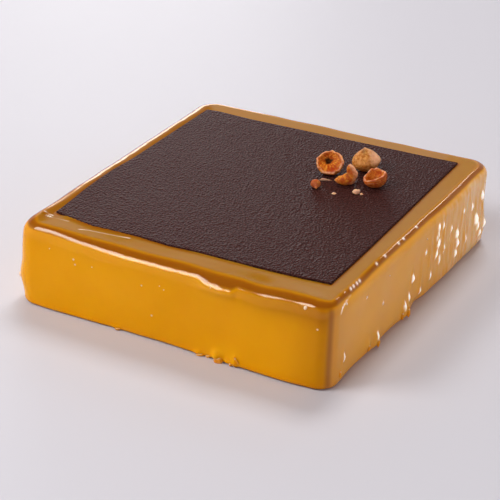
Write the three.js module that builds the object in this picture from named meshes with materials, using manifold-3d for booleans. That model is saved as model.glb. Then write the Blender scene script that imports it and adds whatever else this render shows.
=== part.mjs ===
// A square glazed entremet: a low mousse cake under a poured amber glaze, with a thin grained
// chocolate sheet on top and a small group of roasted hazelnuts near its far right corner.
// Millimetres, +Z up. The origin is on the table, under the middle of the cake.
import * as THREE from 'three';
import { mergeVertices } from 'three/addons/utils/BufferGeometryUtils.js';
import Module from 'manifold-3d';

const wasm = await Module();
wasm.setup();

const radians = THREE.MathUtils.degToRad;

// ---- the cake ----
const cakeSide = 160;
const cakeHeight = 39;
const cornerRadius = 10; // upright corners, seen from above
const nearCorner = { quarter: 3, radius: 7.5 }; // the front right corner is tighter
const cornerFade = 0.6; // the corner's radius shrinks by this part of the way in from the side
// The glaze rolls over the top edge, in a wider roll on the front and on the left.
const rightRoll = { run: 5.2, drop: 5.6 };
const frontRoll = { run: 7.1, drop: 6.8 };
const leftRoll = { run: 7, drop: 6.8 };
const footRadius = 1.6; // the lower edge
const lean = { x: 2, y: 0.6 }; // how far the top sits off the base
const marginRing = 9; // first ring of the flat top, in from the side
const wallRows = 6;
const shoulderRows = 5;
const footRows = 2;
const quarterSteps = 36; // a third of them go round the upright corner

// Slow waves in the glaze on the sides: height in mm, and turns per mm along x, y and z.
const glazeWaves = [
  { size: 0.22, x: 0.0175, y: 0.0112, z: 0.012, start: 0.1 },
  { size: 0.16, x: -0.0093, y: 0.0221, z: 0.021, start: 0.43 },
  { size: 0.1, x: 0.0411, y: 0.0375, z: -0.017, start: 0.77 },
];

// Thick places, drips and bare places, where the lower edge tucks in between the drips: the middle, how
// far it stands out, its half width and half height.
const swells = [
  { name: 'thick left corner', x: -79, y: -74, z: 12.5, out: 1.5, wide: 8, tall: 6 },
  { name: 'front foot', x: 50, y: -80, z: 1.5, out: 1.1, wide: 26, tall: 6 },
  { name: 'bare left end', x: -70, y: -80, z: 37, out: -1.7, wide: 15, tall: 9 },
  { name: 'front drip', x: 27, y: -80, z: 2.7, out: 2.2, wide: 3, tall: 2.4 },
  { name: 'front side drip', x: 36, y: -80, z: 2.4, out: 1.1, wide: 2.6, tall: 3.6 },
  { name: 'front bead', x: 17.4, y: -80, z: 1.5, out: 0.9, wide: 3, tall: 1.6 },
  { name: 'small front bead', x: -25, y: -80, z: 1.4, out: 0.8, wide: 2, tall: 1.6 },
  { name: 'right drip', x: 80, y: -38, z: 3, out: 1.4, wide: 3.4, tall: 4 },
  { name: 'right side drip', x: 80, y: -45.5, z: 5.5, out: 0.9, wide: 2.4, tall: 2.6 },
  { name: 'right long drip', x: 80, y: -9.5, z: 3.6, out: 1.7, wide: 4.5, tall: 4.6 },
  { name: 'right curtain', x: 80, y: 44, z: 5, out: 0.8, wide: 16, tall: 7 },
  { name: 'far corner curtain', x: 79, y: 68, z: 12, out: 0.7, wide: 7, tall: 9 },
  { name: 'back foot', x: -20, y: 80, z: 3, out: 0.9, wide: 30, tall: 5 },
  { name: 'left drip', x: -80, y: 22, z: 4, out: 1.2, wide: 4, tall: 4.4 },
  { name: 'right tuck, near', x: 80, y: -62, z: 0, out: -0.8, wide: 13, tall: 3.6 },
  { name: 'right tuck, middle', x: 80, y: -24, z: 0, out: -0.9, wide: 9, tall: 3.2 },
  { name: 'right notch', x: 80, y: 4, z: 0, out: -1.5, wide: 5, tall: 4.2 },
  { name: 'front tuck', x: 0, y: -80, z: 0, out: -0.5, wide: 16, tall: 3 },
];

// ---- the chocolate sheet ----
const sheetThick = 1;
const sheetTop = cakeHeight + sheetThick;
const sheetCorner = 0.8; // how far each corner is rounded off
// The sheet isn't quite square, and its edges bow: points round its outline, counter-clockwise from
// the front left corner.
const sheetOutline = [
  [-67.5, -62.3], [-60, -63.8], [-45, -66.1], [-22, -64.4], [-6, -65], [8, -63.9], [30, -63.7], [58, -62.2],
  [69.9, -61],
  [69.8, -34], [69.1, 0], [68.2, 33], [67.4, 67.9],
  [48, 67.2], [0, 66.5], [-44, 65.8], [-62, 66.7], [-69.2, 65.9],
  [-69.4, -2], [-70.5, -17], [-70.5, -29], [-69.8, -42], [-68.9, -50],
];
const crumbSink = 0.35;
// Skin flake and nut crumbs that lie on the sheet, in its top plane: place, size and turn.
const scraps = [
  { name: 'skin flake', x: 22.8, y: 21.6, long: 6.3, wide: 1.5, high: 1.1, turn: 27 },
  { name: 'pale crumb', x: 41.0, y: 16.5, long: 3.4, wide: 2.6, high: 2.1, turn: 40 },
  { name: 'crumb chip', x: 43.4, y: 16.2, long: 1.6, wide: 1.1, high: 0.9, turn: 10 },
  { name: 'small crumb', x: 32.5, y: 11.4, long: 2.0, wide: 1.3, high: 0.9, turn: 35 },
];

// ---- the hazelnuts ----
const nutRound = 32; // fineness of the round shapes
const kernelRows = 20;
const kernelRound = 26;
const restingFlat = 0.35; // how much of the underside is pressed flat
const towardsViewer = 31.5; // the open nuts face this way, in degrees right of -Y

// Sections of the nuts, from the pole behind round to the pole that shows: distance from the axis and
// height, as parts of the half width and the half height.
const wholeSection = [
  ...roundBack(104),
  [1, -0.14], [0.98, 0.1], [0.86, 0.4], [0.68, 0.64], [0.46, 0.83], [0.25, 0.96], [0.12, 1.04],
  [0.05, 1.13], [0, 1.15],
];
const halfSection = [
  ...roundBack(92),
  [0.97, 0.06], [0.9, 0.12], [0.82, 0.09], [0.66, 0], [0.46, -0.1], [0.28, -0.2], [0.19, -0.36], [0.16, -0.6],
  [0.09, -0.72], [0, -0.73],
];
const cupSection = [
  ...roundBack(84),
  [0.95, 0.2], [0.87, 0.26], [0.8, 0.2], [0.72, 0.06], [0.62, -0.16], [0.46, -0.36], [0.25, -0.47], [0, -0.5],
];
const dropSection = [
  [0, -0.9], [0.3, -0.9], [0.6, -0.84], [0.85, -0.66], [0.97, -0.4], [1, -0.1], [0.97, 0.1], [0.8, 0.42],
  [0.5, 0.8], [0.22, 1.2], [0.07, 1.46], [0, 1.5],
];
const cupRim = [0.87, 0.26];
// Round the rim of the cupped piece, in degrees from the side that faces the viewer: where it stands
// higher or dips, by how much and how widely.
const cupRimLifts = [
  { at: 166, rise: 0.3, wide: 23 },
  { at: -166, rise: 0.3, wide: 23 },
  { at: 86, rise: 0.12, wide: 29 },
  { at: -52, rise: -0.16, wide: 34 },
];
// The split kernel lies along this line and curls up at its right end; its half widths at even steps.
const splitLine = [
  [-5.3, 0.4, 2], [-3.4, 0.2, 2], [-0.8, 0, 2], [1.8, 0.2, 2.6], [2.9, 0.8, 4.3], [2.5, 1.3, 6.4],
  [1.2, 1.5, 8.3],
];
const splitWidths = [0.6, 2, 2.7, 2.9, 2.6, 2.5, 2.3];
const bluntEnd = 0.55; // how squarely the ends of the split kernel close

const colours = {
  glaze: { color: '#d9930f', roughness: 0.12 },
  chocolate: { color: '#4b3431', roughness: 0.5 },
  nut: { color: '#c57b36', roughness: 0.6 },
  nutInside: { color: '#b4632b', roughness: 0.65 },
};

// ---- closed shapes ----

// A geometry whose corners are shared, so that it is one closed body.
function closed(geometry) {
  const bare = geometry.clone();
  bare.deleteAttribute('normal');
  bare.deleteAttribute('uv');
  const merged = mergeVertices(bare, 1e-5);
  const index = merged.getIndex().array;
  const kept = [];
  for (let i = 0; i < index.length; i += 3) {
    const [a, b, c] = [index[i], index[i + 1], index[i + 2]];
    if (a !== b && b !== c && c !== a) kept.push(a, b, c);
  }
  merged.setIndex(kept);
  return merged;
}

function toSolid(geometry) {
  const body = closed(geometry);
  const vertProperties = new Float32Array(body.getAttribute('position').array);
  const triVerts = new Uint32Array(body.getIndex().array);
  return new wasm.Manifold(new wasm.Mesh({ numProp: 3, vertProperties, triVerts }));
}

function fromSolid(solid) {
  const mesh = solid.getMesh();
  const geometry = new THREE.BufferGeometry();
  geometry.setAttribute('position', new THREE.BufferAttribute(mesh.vertProperties, 3));
  geometry.setIndex(new THREE.BufferAttribute(mesh.triVerts, 1));
  return geometry;
}

// Moves every corner of a shape by a rule that takes and returns a point.
function reshape(geometry, rule) {
  const places = geometry.getAttribute('position');
  const point = new THREE.Vector3();
  for (let i = 0; i < places.count; i += 1) {
    point.fromBufferAttribute(places, i);
    const moved = rule(point);
    places.setXYZ(i, moved.x, moved.y, moved.z);
  }
  return geometry;
}

function namedMesh(name, geometry, look) {
  const body = closed(geometry);
  body.computeVertexNormals();
  const mesh = new THREE.Mesh(body, new THREE.MeshStandardMaterial({ ...look, metalness: 0 }));
  mesh.name = name;
  return mesh;
}

// ---- the glazed cake ----

// Half of the cake's section, from the middle of the underside out, up and in to the middle of the
// top. A point's x is measured from the middle, so the side is at half the cake's width.
function cakeSection() {
  const side = cakeSide / 2;
  const section = [new THREE.Vector2(0, 0)];
  for (let i = 0; i <= footRows; i += 1) {
    const turn = (i / footRows) * (Math.PI / 2);
    const inset = footRadius * (1 - Math.sin(turn));
    section.push(new THREE.Vector2(side - inset, footRadius * (1 - Math.cos(turn))));
  }
  const wallTop = cakeHeight - rightRoll.drop;
  for (let i = 1; i < wallRows; i += 1) {
    section.push(new THREE.Vector2(side, THREE.MathUtils.lerp(footRadius, wallTop, i / wallRows)));
  }
  for (let i = 0; i <= shoulderRows; i += 1) {
    const turn = (i / shoulderRows) * (Math.PI / 2);
    const inset = rightRoll.run * (1 - Math.cos(turn));
    section.push(new THREE.Vector2(side - inset, wallTop + rightRoll.drop * Math.sin(turn)));
  }
  section.push(new THREE.Vector2(side - marginRing, cakeHeight));
  section.push(new THREE.Vector2(0, cakeHeight));
  return section;
}

// The point of the rounded square, set in from the side, at a part of a full turn. Each quarter goes
// from the middle of one side round a corner to the middle of the next, in three equal parts.
function squarePoint(turn, inset) {
  const quarter = Math.floor(turn * 4);
  const part = (turn * 4 - quarter) * 3;
  const half = cakeSide / 2 - inset;
  const full = quarter === nearCorner.quarter ? nearCorner.radius : cornerRadius;
  const radius = Math.min(Math.max(full - cornerFade * inset, 0), half);
  const straight = half - radius;
  const bend = THREE.MathUtils.clamp(part - 1, 0, 1) * (Math.PI / 2);
  const before = THREE.MathUtils.clamp(part, 0, 1);
  const after = THREE.MathUtils.clamp(3 - part, 0, 1);
  const facing = new THREE.Vector2(Math.cos(bend), Math.sin(bend));
  const place = new THREE.Vector2(straight * after, straight * before);
  place.addScaledVector(facing, radius);
  const around = quarter * (Math.PI / 2);
  const origin = new THREE.Vector2(0, 0);
  return { place: place.rotateAround(origin, around), facing: facing.rotateAround(origin, around) };
}

// How far the glaze stands out from the plain side at a point.
function glazeRelief(x, y, z) {
  let out = 0;
  for (const wave of glazeWaves) {
    const turns = wave.x * x + wave.y * y + wave.z * z + wave.start;
    out += wave.size * Math.sin(2 * Math.PI * turns);
  }
  for (const swell of swells) {
    const across = ((x - swell.x) ** 2 + (y - swell.y) ** 2) / swell.wide ** 2;
    const up = (z - swell.z) ** 2 / swell.tall ** 2;
    out += swell.out * Math.exp(-across - up);
  }
  return out;
}

// The roll over the edge on the side that faces a given way.
function rollFacing(facing) {
  const front = THREE.MathUtils.smoothstep(-facing.y, 0.5, 0.95);
  const left = THREE.MathUtils.smoothstep(-facing.x, 0.5, 0.95);
  const mix = (name) => {
    const right = rightRoll[name];
    return right + front * (frontRoll[name] - right) + left * (leftRoll[name] - right);
  };
  return { run: mix('run'), drop: mix('drop') };
}

function glazedCake() {
  // The turned form is squared off, rolled over at the edge, given the glaze's relief, and leaned.
  const turned = new THREE.LatheGeometry(cakeSection(), quarterSteps * 4);
  const wallTop = cakeHeight - rightRoll.drop;
  const squared = reshape(turned, (point) => {
    let inset = cakeSide / 2 - Math.hypot(point.x, point.z);
    let height = point.y;
    const turn = (Math.atan2(-point.z, point.x) / (2 * Math.PI) + 1) % 1;
    const roll = rollFacing(squarePoint(turn, 0).facing);
    if (height > wallTop) {
      height = cakeHeight - (cakeHeight - height) * (roll.drop / rightRoll.drop);
      if (inset <= rightRoll.run) inset *= roll.run / rightRoll.run;
    } else if (height > footRadius) {
      height = THREE.MathUtils.mapLinear(height, footRadius, wallTop, footRadius, cakeHeight - roll.drop);
    }
    const { place, facing } = squarePoint(turn, inset);
    const strength = THREE.MathUtils.clamp(1 - inset / marginRing, 0, 1);
    place.addScaledVector(facing, strength * glazeRelief(place.x, place.y, height));
    const tilt = height / cakeHeight - 0.5;
    return new THREE.Vector3(place.x + lean.x * tilt, place.y + lean.y * tilt, height);
  });
  return namedMesh('glazed_cake', squared, colours.glaze);
}

// ---- the chocolate sheet with what lies on it ----

// The outline of the sheet, with each sharp corner rounded off.
function outlineShape() {
  const sharp = 45; // an outline turns by more than this only at a corner, in degrees
  const shape = new THREE.Shape();
  sheetOutline.forEach((point, index) => {
    const here = new THREE.Vector2(...point);
    const before = new THREE.Vector2(...sheetOutline.at(index - 1));
    const after = new THREE.Vector2(...sheetOutline[(index + 1) % sheetOutline.length]);
    const back = before.sub(here).normalize();
    const ahead = after.sub(here).normalize();
    const draw = index === 0 ? 'moveTo' : 'lineTo';
    if (180 - THREE.MathUtils.radToDeg(back.angleTo(ahead)) < sharp) {
      shape[draw](here.x, here.y);
      return;
    }
    const start = here.clone().addScaledVector(back, sheetCorner);
    const end = here.clone().addScaledVector(ahead, sheetCorner);
    shape[draw](start.x, start.y);
    shape.quadraticCurveTo(here.x, here.y, end.x, end.y);
  });
  return shape;
}

// A crumb or flake: a pebble of the given size, sunk a little into the sheet.
function scrap({ x, y, long, wide, high, turn }) {
  const pebble = new THREE.IcosahedronGeometry(0.5, 1);
  reshape(pebble, (p) => p.multiplyScalar(1 + 0.22 * Math.sin(9 * p.x + 14 * p.y + 6 * p.z)));
  pebble.scale(long, wide, high + crumbSink);
  pebble.rotateZ(radians(turn));
  pebble.translate(x, y, sheetTop + high / 2 - crumbSink / 2);
  return pebble;
}

function chocolateSheet() {
  const options = { depth: sheetThick, bevelEnabled: false, curveSegments: 3 };
  const plate = new THREE.ExtrudeGeometry(outlineShape(), options);
  plate.translate(0, 0, cakeHeight);
  let body = toSolid(plate);
  for (const piece of scraps) body = body.add(toSolid(scrap(piece)));
  return namedMesh('chocolate_sheet', fromSolid(body), colours.chocolate);
}

// ---- the hazelnuts, each resting on the sheet ----

// The back of a nut as part of a section, from its pole to an angle off the pole that shows.
function roundBack(last) {
  const step = 8;
  const points = [];
  for (let turn = 180; turn >= last; turn -= step) {
    points.push([Math.sin(radians(turn)), Math.cos(radians(turn))]);
  }
  return points;
}

// Moves the points of a shape out and in from its middle, to make it a little lumpy.
function lumpy(geometry, amount, seed) {
  return reshape(geometry, (p) => {
    const lump = Math.sin(4.1 * p.x + seed) * Math.sin(3.7 * p.y - seed) + Math.sin(5.3 * p.z + seed);
    return p.multiplyScalar(1 + amount * lump);
  });
}

// A section turned about +Z: a body of about one across its half, with the pole that shows on top.
function turnedBody(section) {
  const points = section.map(([out, up]) => new THREE.Vector2(Math.max(out, 0), up));
  const body = new THREE.LatheGeometry(points, nutRound);
  body.rotateX(Math.PI / 2);
  return body;
}

// Presses the underside flat and stands the piece on the sheet.
function settle(geometry, x, y) {
  geometry.computeBoundingBox();
  geometry.translate(0, 0, -geometry.boundingBox.min.z - restingFlat);
  reshape(geometry, (p) => p.setZ(Math.max(p.z, 0)));
  geometry.translate(x, y, sheetTop);
  return geometry;
}

// Tips the pole that shows from straight up, in degrees, to a side that is given right of -Y.
function tip(geometry, lean, side) {
  geometry.rotateX(radians(lean));
  geometry.rotateZ(radians(side));
  return geometry;
}

function wholeNut() {
  const nut = lumpy(turnedBody(wholeSection), 0.015, 0.4);
  nut.scale(6.75, 6.5, 5.35);
  tip(nut, -6, towardsViewer + 70);
  return namedMesh('hazelnut_whole', settle(nut, 33.4, 40.7), colours.nut);
}

// The far half of a nut, cut across, with the kernel's dished face and its well open to the viewer.
function halfNut() {
  const nut = lumpy(turnedBody(halfSection), 0.02, 2.1);
  nut.scale(6.5, 6.2, 5.2);
  tip(nut, 40, towardsViewer - 9);
  return namedMesh('hazelnut_half', settle(nut, 20.4, 29.9), colours.nutInside);
}

// A broken shell of kernel, hollow side up, with an uneven rim.
function cuppedNut() {
  const rimReach = 0.35;
  const cup = reshape(turnedBody(cupSection), (p) => {
    const offRim = Math.hypot(Math.hypot(p.x, p.y) - cupRim[0], p.z - cupRim[1]);
    const around = THREE.MathUtils.radToDeg(Math.atan2(p.y, p.x));
    let rise = 0;
    for (const lift of cupRimLifts) rise += lift.rise * Math.exp(-(((around - lift.at) / lift.wide) ** 2));
    return p.setZ(p.z + rise * Math.exp(-((offRim / rimReach) ** 2)));
  });
  lumpy(cup, 0.02, 4.4).scale(5, 5.75, 4.9);
  tip(cup, 13, towardsViewer - 97);
  return namedMesh('hazelnut_cupped', settle(cup, 45.3, 27.5), colours.nutInside);
}

// A kernel split in two lobes: one lies towards the left, the other curls up at the right.
function splitNut() {
  const line = new THREE.CatmullRomCurve3(splitLine.map((point) => new THREE.Vector3(...point)));
  const ball = new THREE.SphereGeometry(1, kernelRound, kernelRows);
  ball.rotateX(Math.PI / 2);
  const kernel = reshape(ball, (p) => {
    const pole = Math.acos(THREE.MathUtils.clamp(p.z, -1, 1));
    const around = Math.atan2(p.y, p.x);
    const along = (1 - Math.cos(pole)) / 2;
    const step = Math.min(along * (splitWidths.length - 1), splitWidths.length - 1.001);
    const first = Math.floor(step);
    const width = THREE.MathUtils.lerp(splitWidths[first], splitWidths[first + 1], step - first);
    const half = width * Math.sin(pole) ** bluntEnd;
    const forward = line.getTangent(along);
    const depth = new THREE.Vector3(0, 1, 0).addScaledVector(forward, -forward.y).normalize();
    const across = new THREE.Vector3().crossVectors(forward, depth);
    const place = line.getPoint(along);
    place.addScaledVector(across, half * Math.cos(around));
    return place.addScaledVector(depth, half * Math.sin(around));
  });
  kernel.rotateZ(radians(towardsViewer));
  return namedMesh('hazelnut_split', settle(kernel, 32.6, 22.6), colours.nut);
}

// The smallest piece: a drop-shaped bit with its point down towards the viewer.
function nutBit() {
  const bit = lumpy(turnedBody(dropSection), 0.02, 2.6);
  bit.scale(2.3, 2.1, 2);
  tip(bit, 108, towardsViewer + 4);
  return namedMesh('hazelnut_bit', settle(bit, 22, 13.3), colours.nut);
}

const entremet = new THREE.Group();
entremet.add(glazedCake());
entremet.add(chocolateSheet());
entremet.add(wholeNut());
entremet.add(halfNut());
entremet.add(cuppedNut());
entremet.add(splitNut());
entremet.add(nutBit());

export default entremet;
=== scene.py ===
"""Looks for a square glazed entremet: amber mirror glaze, a grained chocolate sheet, roasted hazelnuts."""

import math
from types import SimpleNamespace

import bmesh
import bpy
import numpy as np
from mathutils import Matrix, Vector, noise


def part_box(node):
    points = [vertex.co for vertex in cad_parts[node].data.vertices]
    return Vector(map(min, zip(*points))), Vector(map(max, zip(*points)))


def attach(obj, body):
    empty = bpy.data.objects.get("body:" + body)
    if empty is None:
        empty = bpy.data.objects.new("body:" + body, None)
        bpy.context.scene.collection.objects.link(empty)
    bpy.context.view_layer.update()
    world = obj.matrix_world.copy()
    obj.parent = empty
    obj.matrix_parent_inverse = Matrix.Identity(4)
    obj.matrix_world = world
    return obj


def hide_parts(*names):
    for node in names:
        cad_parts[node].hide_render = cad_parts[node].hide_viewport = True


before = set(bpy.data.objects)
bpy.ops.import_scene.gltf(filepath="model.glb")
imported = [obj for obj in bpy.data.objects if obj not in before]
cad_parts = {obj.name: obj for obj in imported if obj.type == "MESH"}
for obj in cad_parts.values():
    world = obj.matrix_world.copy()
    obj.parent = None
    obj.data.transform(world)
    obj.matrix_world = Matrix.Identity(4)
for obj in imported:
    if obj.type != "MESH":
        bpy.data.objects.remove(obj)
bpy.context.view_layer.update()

MM = 0.001

# ---- the cake's sizes, all in millimetres ----

# The chocolate sheet lies on the cake, so the frame gives the cake's height.
CAKE_HEIGHT = (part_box("chocolate_sheet")[0] / MM).z
CAKE_SIDE = 160.0
# The near corner is tighter than the others, and each tightens towards the middle of the top.
CORNER_RADIUS, NEAR_CORNER_RADIUS, CORNER_FADE = 10.0, 7.5, 0.6
FOOT_RADIUS = 1.6
# The whole cake leans a little, by so much from foot to rim along x and y.
LEAN = (2.0, 0.6)

# The roll over the edge: how far it runs in and drops, and how much more it does so on softer sides.
ROLL_RUN, ROLL_DROP = 5.2, 5.6
FRONT_RUN_MORE, LEFT_RUN_MORE, SOFT_DROP_MORE = 1.9, 1.8, 1.2
LEFT_RIM_LIFT = 0.9
# A high rim has a narrower roll, and the right rim is calmer than the rest in its height and its roll.
HIGH_RIM_NARROWS, CALM_RIGHT_LIFT, CALM_RIGHT_RUN = 0.4, 0.25, 2 / 3

# How the glaze wanders: by how much, over about what length, and the noise's seed. First the rim's
# height and its roll round the cake, then the skin on the rim of each side.
LIFT_WANDER, RUN_WANDER, DROP_WANDER = (0.35, 24.0, 3.3), (0.9, 19.0, 7.1), (0.5, 22.0, 1.7)
RIGHT_SKIN, LEFT_SKIN, FRONT_SKIN = (0.05, 3.0, 11.0), (0.08, 5.0, 13.0), (0.06, 4.0, 15.0)

# The skin's steps along a side, and its rows of points on the top's margin, roll, wall and foot.
SIDE_STEPS, MARGIN_ROWS, ROLL_ROWS, WALL_ROWS, FOOT_ROWS = 230, 25, 14, 38, 4
WALL_START = MARGIN_ROWS + ROLL_ROWS
FOOT_START = WALL_START + WALL_ROWS
# How far in from the side the rows begin, and how far in the relief of the sides still shows.
MARGIN_INSET, RELIEF_REACH = 16.0, 9.0

# The chocolate sheet isn't quite square: its left and right edges as x at each y, and its front and
# back edges as y at each x.
SHEET_THICK = 1.0
SHEET_TOP = CAKE_HEIGHT + SHEET_THICK
SHEET_CELL, SHEET_SPAN_X, SHEET_SPAN_Y = 0.5, 138, 130
SHEET_LEFT = [(-63, -67.8), (-50, -68.9), (-42, -69.8), (-29, -70.5), (-17, -70.5), (-2, -69.4), (66, -69.2)]
SHEET_RIGHT = [(-63, 70.0), (-34, 69.8), (0, 69.1), (33, 68.2), (68, 67.4)]
SHEET_FRONT = [(-68, -62.2), (-60, -63.8), (-45, -66.1), (-22, -64.4), (-6, -65.0), (8, -63.9), (30, -63.7),
               (58, -62.2), (71, -60.8)]
SHEET_BACK = [(-69, 65.9), (-62, 66.7), (-44, 65.8), (0, 66.5), (48, 67.2), (68, 68.0)]

# Slow waves in the glaze on the sides: height in mm, turns per mm along x, y and z, and where they start.
GLAZE_WAVES = [
    (0.22, 0.0175, 0.0112, 0.012, 0.1),
    (0.16, -0.0093, 0.0221, 0.021, 0.43),
    (0.10, 0.0411, 0.0375, -0.017, 0.77),
]

# Thick places, drips and bare places: middle, how far it stands out, half width, half height.
SWELLS = {
    "thick left corner": (-79, -74, 12.5, 1.5, 8, 6),
    "front foot": (50, -80, 1.5, 1.1, 26, 6),
    "bare left end": (-70, -80, 37, -1.7, 15, 9),
    "front drip": (27, -80, 3.0, 2.5, 2.2, 1.9),
    "front side drip": (36, -80, 2.6, 1.2, 1.5, 3.0),
    "front bead": (17.4, -80, 1.3, 1.0, 2.0, 1.2),
    "middle front bead": (32.6, -80, 1.6, 0.9, 1.3, 1.1),
    "small front bead": (-25, -80, 1.2, 0.8, 1.5, 1.1),
    "right drip": (80, -38, 3, 1.4, 3.4, 4),
    "right side drip": (80, -45.5, 5.5, 0.9, 2.4, 2.6),
    "right long drip": (80, -9.5, 3.6, 1.7, 4.5, 4.6),
    "right curtain": (80, 44, 5, 0.8, 16, 7),
    "far corner curtain": (79, 68, 12, 0.7, 7, 9),
    "back foot": (-20, 80, 3, 0.9, 30, 5),
    "left drip": (-80, 22, 4, 1.2, 4, 4.4),
    "right tuck, near": (80, -58, 0, -0.5, 9, 3.6),
    "right tuck, middle": (80, -24, 0, -0.9, 9, 3.2),
    "right notch": (80, 4, 0, -1.5, 5, 4.2),
    "front tuck": (0, -80, 0, -0.5, 16, 3),
}

# Where the rim of the top stands higher or sags lower: middle, lift and half width.
RIM_LIFTS = {
    "front left lip": (-60, -80, 0.15, 13),
    "front dip": (-30, -80, -0.2, 9),
    "front low run": (47, -80, -0.5, 7),
    "near corner": (72, -78, 0.4, 8),
}

# A lobe of glaze hangs over the front edge: the x where it begins, is full, starts to end and ends,
# then how far it stands out and sags, the height of its middle and its half height, and how much it
# grows for each mm along and wanders.
LOBE_BEGINS, LOBE_FULL, LOBE_WANES, LOBE_ENDS = 14, 21, 33.0, 35.6
LOBE_STANDS, LOBE_SAGS, LOBE_LEVEL, LOBE_TALL = 1.4, 1.1, 36, 3.5
LOBE_GROWS, LOBE_WANDER = 0.012, (0.25, 5.0, 4.4)

# On the top the glaze climbs to the sheet: least, more at the front and most at the front left, where
# a low ridge runs beside the sheet: its y, height and half width, and the x over which each end fades.
CLIMB, FRONT_CLIMB, FRONT_LEFT_CLIMB, CLIMB_REACH = 0.06, 0.3, 0.6, 0.8
FRONT_LEFT_FADES = (-38, -14)
RIDGE_Y, RIDGE_HEIGHT, RIDGE_WIDTH = -66.2, 0.8, 0.8
RIDGE_RIGHT_FADES, RIDGE_LEFT_FADES = (-66, -69), (-75, -78)

# Ripples where the glaze ran down the far part of the right side: y and z of the middle, how far it
# stands out, half width and half height.
RIPPLES = [
    (12.5, 20, 0.40, 1.5, 10), (18.0, 24, 0.60, 1.3, 7), (22.6, 27, 0.70, 1.2, 8),
    (26.4, 22, 0.60, 1.1, 9), (31.5, 17, 0.45, 1.6, 9), (36.2, 12, 0.60, 1.2, 7),
    (40.2, 14, 0.75, 1.1, 8), (45.0, 22, 0.50, 1.5, 9), (49.5, 16, 0.55, 1.4, 10),
    (54.3, 24, 0.55, 1.3, 8), (58.4, 18, 0.65, 1.2, 8), (61.6, 15, 0.80, 1.1, 8),
    (65.2, 12, 0.75, 1.1, 7), (69.0, 20, 0.60, 1.2, 9), (72.4, 9, 0.70, 1.1, 6),
    (-4.3, 16.6, 0.45, 0.9, 4), (-68.3, 11.6, 0.45, 0.9, 4), (5.0, 12, 0.30, 1.6, 8),
]

# Short folds in those ripples, also painted with bright highlights: as above.
FOLDS_PAINTED_BRIGHT = [
    (19.6, 31, 0.8, 1.2, 2.0), (19.0, 27, 0.9, 1.5, 1.9), (20.0, 22.5, 1.1, 1.7, 2.2),
    (19.2, 18, 0.9, 1.3, 1.9), (24.0, 30, 0.7, 1.1, 1.6), (23.5, 13, 0.8, 1.2, 1.8),
    (27.5, 17, 0.8, 1.0, 1.8), (40.0, 19, 1.0, 1.1, 2.0), (40.6, 14, 1.1, 1.2, 2.0),
    (39.6, 9, 0.8, 1.0, 1.7), (34.0, 24, 0.6, 0.9, 1.4), (51.0, 11, 0.7, 1.0, 1.7),
    (56.5, 25, 0.7, 1.1, 1.6), (61.0, 17, 1.1, 1.3, 2.1), (62.8, 12.5, 1.1, 1.3, 2.0),
    (65.6, 8, 0.9, 1.2, 1.9), (71.5, 10, 1.0, 1.0, 1.9), (68.0, 26, 0.8, 1.1, 2.0),
    (-4.3, 17, 0.9, 0.9, 1.7), (-68.3, 11.6, 0.6, 0.7, 1.8), (-50.2, 31, 0.5, 0.6, 0.8),
    (-34.3, 20, 0.5, 0.6, 0.8), (-12.0, 7, 0.8, 1.2, 1.7), (-7.0, 9, 0.8, 1.0, 1.5),
    (-38.0, 6, 0.7, 0.9, 1.7), (8.0, 24, 0.5, 0.8, 1.1), (14.5, 9, 0.7, 1.2, 1.6),
    (46.0, 28, 0.5, 0.9, 1.3), (5.0, 6, 0.7, 1.1, 1.5),
]

# Painted highlights as thin bright lines: beside the sheet at the front left, and where the glaze turns
# from the near corner into the right side. Then the y of the painted highlight dots on the right rim's near
# half.
HIGHLIGHT_LINE_WIDTH = 0.22
HIGHLIGHT_LINES = [
    [(-74.2, -68.7, 39.2), (-70.4, -67.2, 39.3), (-64.9, -66.4, 39.4), (-58.4, -66.3, 39.3)],
    [(-49.6, -70.2, 39.2), (-45.7, -69.0, 39.3), (-39.7, -68.4, 39.3), (-32.3, -67.6, 39.3),
     (-25.3, -66.6, 39.2)],
    [(80.6, -72.0, 34.4), (80.3, -70.2, 36.0), (79.7, -66.2, 36.8), (79.3, -62.0, 37.2)],
]
RIM_HIGHLIGHT_DOTS = [-61.5, -59.0, -56.0, -53.5, -37.0, -29.0, -15.5, -10.5, 2.5]

# Painted russet shade on the near upright corner: a line at its middle, and a wide faint shade
# beside it, each with its x, y, width and strength.
CORNER_SHADE_LINE, CORNER_SHADE_BROAD = (78.2, -77.3, 1.9, 0.75), (76, -80, 13, 0.33)

# How far the painted shade of the rim reaches down the front, and how wide the painted shade lies along
# the sheet; how high the bright foot and the painted contact shadow at the front's very bottom reach; the
# painted sheen at the near and far end of the right side; and a painted rim highlight dot's half length,
# and its angle over the edge and half width.
SHADE_BELOW_REACH, SHEET_SHADE_WIDTH = 3.5, 1.2
FOOT_GLOW, FOOT_SHADOW_PAINT = 2.5, 0.8
NEAR_SHEEN_PAINT, FAR_SHEEN_PAINT = 0.12, 0.77
DOT_LENGTH, DOT_ANGLE, DOT_WIDTH = 0.6, 0.4, 0.1

# Bubbles on the sides: where they sit, and their radius.
BUBBLES = [
    (-46.7, -80, 29.2, 0.5), (-46.0, -80, 26.9, 0.4), (-10.8, -80, 26.3, 0.4), (-1.6, -80, 28.5, 0.3),
    (-6.3, -80, 13.0, 0.45), (73.9, -80, 28.8, 0.45), (67.5, -80, 37.6, 0.8), (-79.2, -76, 11.8, 1.3),
    (-60.0, -80, 31.0, 0.3), (-37.0, -80, 28.0, 0.3), (0.5, -80, 27.2, 0.3), (24.0, -80, 34.6, 0.3),
    (80, -50.2, 31.2, 0.45), (80, -34.3, 19.8, 0.45), (80, -66.9, 35.9, 0.6), (80, -28.0, 30.0, 0.3),
    (80, 8.5, 30.5, 0.45), (80, 47.0, 26.0, 0.35),
]

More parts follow.
